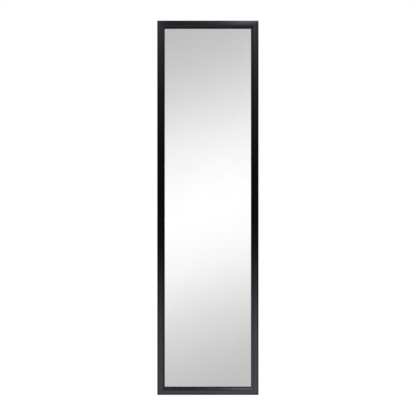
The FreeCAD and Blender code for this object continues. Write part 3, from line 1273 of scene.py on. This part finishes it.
@dataclass
class Studio:
    """White studio: a bright band before the mirror, darker above and below it, and soft lamps.

    Stops pair a direction's part along one axis, from -1 to 1, with the light from there.
    """

    plain_level: float = 0.8  # to matt surfaces
    white_level: float = 1.0  # to the camera
    band_level: float = 1.135  # what the mirror sees straight ahead
    band_edge: float = 0.4327  # along Z, where the band ends
    band_tilt: float = 0.3  # rise of the band from left to right
    dim_level: float = 0.578  # at the band's edge
    far_share: float = 0.66  # of that, straight up and down
    upper_start: float = 0.34  # along Z, where the room's upper part begins
    upper_end: float = 0.374
    # What satin black sees along Z: a dark room straight ahead, lit from above and below
    heights: Stops = (
        (-1.0, 0.3), (-0.55, 0.3), (-0.45, 1.4), (-0.378, 1.5), (-0.254, 1.15),
        (-0.178, 0.6), (-0.1, 0.13), (-0.04, 0.045), (0.1, 0.045), (0.235, 0.23),
        (0.308, 0.45), (0.411, 0.95), (0.52, 1.5), (0.7, 1.3), (1.0, 0.7),
    )
    # Share of that along X, with dark sides
    sides: Stops = (
        (-0.95, 0.05), (-0.86, 1.1), (-0.68, 1.15), (-0.55, 0.3), (-0.4, 0.3),
        (-0.2, 0.95), (0.14, 1.3), (0.35, 1.1), (0.8, 0.45), (0.95, 0.05),
    )
    # The same share in the room's upper part, with a lamp right of the middle
    upper_sides: Stops = (
        (-1.0, 0.7), (-0.5, 0.6), (-0.13, 1.6), (-0.085, 0.05), (0.035, 0.7),
        (0.08, 3.2), (0.115, 1.0), (0.5, 1.0),
    )
    # Share of the plain level along Y: a strip straight beside the mirror, and all behind it
    plain_shares: Stops = ((-0.15, 0.0), (0.0, 0.9), (0.15, 0.0), (0.55, 0.0), (0.8, 1.0))
    lamp_power: float = 28.0
    lamp_size: float = 1.8
    lamp_aim: Spot = (0.0, 0.0, 0.6)
    floor_half: float = 6.0
    floor_shade: str = "#696969"
    floor_glow: float = 0.92  # to the camera, so that the floor is white and keeps its shadow

    def build(self) -> None:
        """Builds the world, the lamps and the floor."""
        self.world()
        self.lamps()
        self.floor()

    def mirror_level(self, sky: Sky) -> Node:
        """Gives the light that the mirror sees: a bright band that falls off above and below.

        Args:
            sky: The world's nodes.

        Returns:
            The node that gives the light.
        """
        tilt = [sky.part["X"], -self.band_tilt, sky.part["Z"]]
        tilted = sky.add("ShaderNodeMath", tilt, operation="MULTIPLY_ADD")
        rise = sky.add("ShaderNodeMath", [tilted], operation="ABSOLUTE")
        near = {"From Max": self.band_edge, "To Min": self.band_level, "To Max": self.dim_level}
        band = sky.add("ShaderNodeMapRange", {"Value": rise, **near}, interpolation_type="SMOOTHSTEP")
        far = {"From Min": self.band_edge, "To Min": 1.0, "To Max": self.far_share}
        fall = sky.add("ShaderNodeMapRange", {"Value": rise, **far})
        return sky.add("ShaderNodeMath", [band, fall], operation="MULTIPLY")

    def satin_level(self, sky: Sky) -> Node:
        """Gives the light that satin black and the metals see.

        Args:
            sky: The world's nodes.

        Returns:
            The node that gives the light.
        """
        bounds = {"Value": sky.part["Z"], "From Min": self.upper_start, "From Max": self.upper_end}
        upper = sky.add("ShaderNodeMapRange", bounds, interpolation_type="SMOOTHSTEP")
        across = {0: upper, 2: sky.along("X", self.sides), 3: sky.along("X", self.upper_sides)}
        share = sky.add("ShaderNodeMix", across)
        heights = sky.along("Z", self.heights)
        before = sky.add("ShaderNodeMath", [heights, share], operation="MULTIPLY")
        plain_share = sky.along("Y", self.plain_shares)
        return sky.add("ShaderNodeMix", {0: plain_share, 2: before, 3: self.plain_level})

    def world(self) -> None:
        """Builds the world: white to the camera, and to each finish the studio that it sees."""
        sky = Sky()
        path = sky.add("ShaderNodeLightPath").outputs
        seen = {
            "Is Glossy Ray": self.satin_level(sky),
            "Is Singular Ray": self.mirror_level(sky),
            "Is Camera Ray": self.white_level,
        }
        level: Feed | float = self.plain_level
        for ray, light in seen.items():
            level = sky.add("ShaderNodeMix", {0: path[ray], 2: level, 3: light})
        back = sky.add("ShaderNodeBackground", {"Color": linear("#ffffff"), "Strength": level})
        sky.add("ShaderNodeOutputWorld", {"Surface": back})

    def lamps(self) -> None:
        """Hangs the two large soft lamps, out of sight of glossy and clear surfaces."""
        for lamp in Lamp:
            name = f"{lamp.name.lower()}_lamp"
            data = bpy.data.lights.new(name, "AREA")
            data.shape = "DISK"
            data.size = self.lamp_size
            data.energy = self.lamp_power
            hung = bpy.data.objects.new(name, data)
            hung.location = lamp.value
            aim = Vector(self.lamp_aim) - Vector(lamp.value)
            hung.rotation_euler = aim.to_track_quat("-Z", "Y").to_euler()
            hung.visible_glossy = False
            hung.visible_transmission = False
            bpy.context.scene.collection.objects.link(hung)

    def floor(self) -> None:
        """Lays the floor: white to the camera, with the mirror's soft shadow on it."""
        mesh = bpy.data.meshes.new("studio_floor")
        half = self.floor_half
        corners = [(-half, -half, 0.0), (half, -half, 0.0), (half, half, 0.0), (-half, half, 0.0)]
        mesh.from_pydata(corners, [], [(0, 1, 2, 3)])
        floor = bpy.data.objects.new("studio_floor", mesh)
        floor.visible_glossy = False
        floor.visible_transmission = False
        bpy.context.scene.collection.objects.link(floor)
        made = bpy.data.materials.new("white_paper_floor")
        made.use_nodes = True
        graph = NodeGraph(made.node_tree)
        paper = graph.add("ShaderNodeBsdfDiffuse", {"Color": linear(self.floor_shade)})
        seen = graph.add("ShaderNodeLightPath").outputs["Is Camera Ray"]
        glow = graph.add("ShaderNodeMath", [seen, self.floor_glow], operation="MULTIPLY")
        white = graph.add("ShaderNodeEmission", {"Strength": glow})
        both = graph.add("ShaderNodeAddShader", [paper, white])
        graph.add("ShaderNodeOutputMaterial", {"Surface": both})
        mesh.materials.append(made)
        floor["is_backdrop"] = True


def main() -> None:
    """Builds every piece, sets the studio and works out the model's size."""
    logging.basicConfig(level=logging.INFO, format="%(message)s")
    bpy.context.scene.view_settings.view_transform = "Standard"
    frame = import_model()
    cad_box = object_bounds()
    nodes = frame["nodes"]
    # Extruded and filmed: nearly black, with long soft reflections
    black = SatinPolystyrene("satin_black_polystyrene", "#0a090f", "#0e0d14", roughness=0.13).material()
    # Floated, its edges ground: colourless and see-through, with a clean gloss
    glass = FloatGlass("clear_float_glass", "#fbfbfb", "#f8f8f8", roughness=0.0).material()
    # Deposited on the glass: a clear reflection, without a tint
    silver = MirrorSilver("deposited_silver", "#f5f5f5", "#f8f8f9", roughness=0.0).material()
    # Pressed wet on a wire screen: matt brown fibre with a woven print
    board = Hardboard("screen_back_hardboard", "#6e4b2e", "#82603f", roughness=0.85).material()
    # Stamped and blued: dull dark grey with a cool cast
    blued = PlatedSteel("blued_spring_steel", "#4a4c54", "#5c5e66", roughness=0.42).material()
    # Stamped and zinc plated: pale grey, cloudy and finely scratched
    zinc = PlatedSteel("zinc_plated_steel", "#a6a9ad", "#b3b6ba", roughness=0.36).material()
    # Drawn and nickel plated: brighter, and slightly warm
    nickel = PlatedSteel("nickel_plated_wire", "#c4beb4", "#cfcac1", roughness=0.2).material()
    # Moulded: matt black with a greyish bloom
    rubber = MouldedRubber("moulded_black_rubber", "#1c1b1b", "#2b2a29", roughness=0.8).material()
    pieces = [
        *MouldingFrame(nodes).build(black),
        *Glazing(nodes).build({"glass": glass, "silver": silver, "board": board}),
        *[dress(nodes[corner.nails], blued) for corner in Corner],
        *BoardPoints().build(blued),
        *Hangers(nodes).build({"zinc": zinc, "nickel": nickel}),
        *FootBumpers().build(rubber),
    ]
    for piece in pieces:
        LOG.info("%s: %d faces", piece.name, len(piece.data.polygons))
    Viewpoint().build()
    Studio().build()
    boxes = {"cad": cad_box, "visual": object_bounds()}
    {name: [list(corner) for corner in box] for name, box in boxes.items()}


if __name__ == "__main__":
    main()
